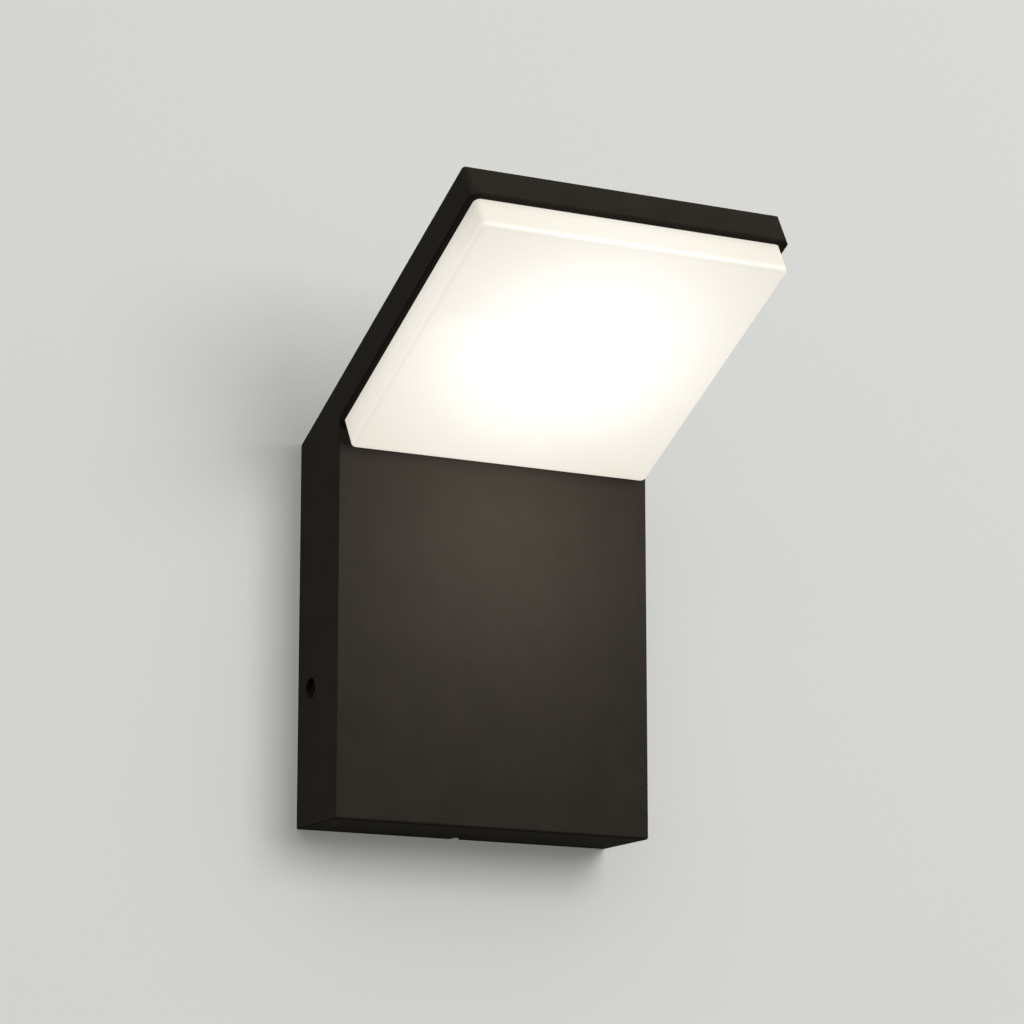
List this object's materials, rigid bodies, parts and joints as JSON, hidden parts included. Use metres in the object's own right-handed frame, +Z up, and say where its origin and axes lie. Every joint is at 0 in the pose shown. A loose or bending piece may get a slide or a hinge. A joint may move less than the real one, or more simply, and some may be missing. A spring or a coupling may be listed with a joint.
{
  "type": "wall lantern",
  "caption": "Outdoor wall light: a slim box with a fixed head leaning forward over it, an opal diffuser under the head, and side set screws that hold it to a wall plate.",
  "frame": {"origin": "on the wall plane, at the centre of the mounting plate behind its pad, half way between the two wall screw slots", "axes": "+Z up, +X to the right seen from the front, +Y into the wall; the lamp stands out along -Y"},
  "size_m": [0.115, 0.1276, 0.1924],
  "materials": {
    "casting": "matte powder coat, dark brown-black",
    "opal": "satin opal polycarbonate, lit from inside",
    "silicone": "translucent grey silicone",
    "black_rubber": "matte black rubber",
    "light_board": "white solder mask on aluminium",
    "led": "yellow phosphor, lit",
    "zinc_steel": "bright zinc plate",
    "black_steel": "black oxide",
    "nickel": "nickel plate on brass",
    "driver_plastic": "off-white moulded plastic",
    "circuit_board": "green laminate",
    "ferrite": "yellow tape over ferrite",
    "capacitor": "dark sleeve",
    "nylon": "natural nylon",
    "red_wire": "red insulation",
    "black_wire": "black insulation",
    "brown_wire": "brown insulation",
    "blue_wire": "blue insulation",
    "earth_wire": "green and yellow insulation"
  },
  "bodies": {
    "wall_plate": {"mounting_plate": "zinc_steel", "wall_pad": "black_rubber", "cable_grommet": "black_rubber"},
    "lamp": {"board_connector": "nylon", "board_lead_negative": "black_wire", "board_lead_positive": "red_wire", "board_screw_1": "zinc_steel", "board_screw_2": "zinc_steel", "board_screw_3": "zinc_steel", "board_screw_4": "zinc_steel", "clamp_screw_earth": "nickel", "clamp_screw_live": "nickel", "clamp_screw_neutral": "nickel", "diffuser": "opal", "diffuser_seal": "silicone", "driver_board": "circuit_board", "driver_capacitor": "capacitor", "driver_case": "driver_plastic", "driver_lid": "driver_plastic", "driver_screw_left": "zinc_steel", "driver_screw_right": "zinc_steel", "driver_transformer": "ferrite", "earth_lead": "earth_wire", "earth_lug": "nickel", "earth_screw": "nickel", "housing": "casting", "led_1": "led", "led_10": "led", "led_11": "led", "led_12": "led", "led_2": "led", "led_3": "led", "led_4": "led", "led_5": "led", "led_6": "led", "led_7": "led", "led_8": "led", "led_9": "led", "light_board": "light_board", "live_lead": "brown_wire", "neutral_lead": "blue_wire", "passage_bush": "black_rubber", "terminal_block": "nylon", "terminal_screw_left": "zinc_steel", "terminal_screw_right": "zinc_steel"},
    "set_screw_left": {"set_screw_left": "black_steel"},
    "set_screw_right": {"set_screw_right": "black_steel"}
  },
  "joints": [
    {"name": "lamp_off", "type": "slide", "parent": "wall_plate", "child": "lamp", "axis": [0, -1, 0], "range_m": [0, 0.045]},
    {"name": "set_screw_left_turn", "type": "hinge", "parent": "lamp", "child": "set_screw_left", "pos_m": [-0.0528, -0.0095, 0], "axis": [-1, 0, 0], "continuous": true},
    {"name": "set_screw_right_turn", "type": "hinge", "parent": "lamp", "child": "set_screw_right", "pos_m": [0.0528, -0.0095, 0], "axis": [1, 0, 0], "continuous": true}
  ]
}
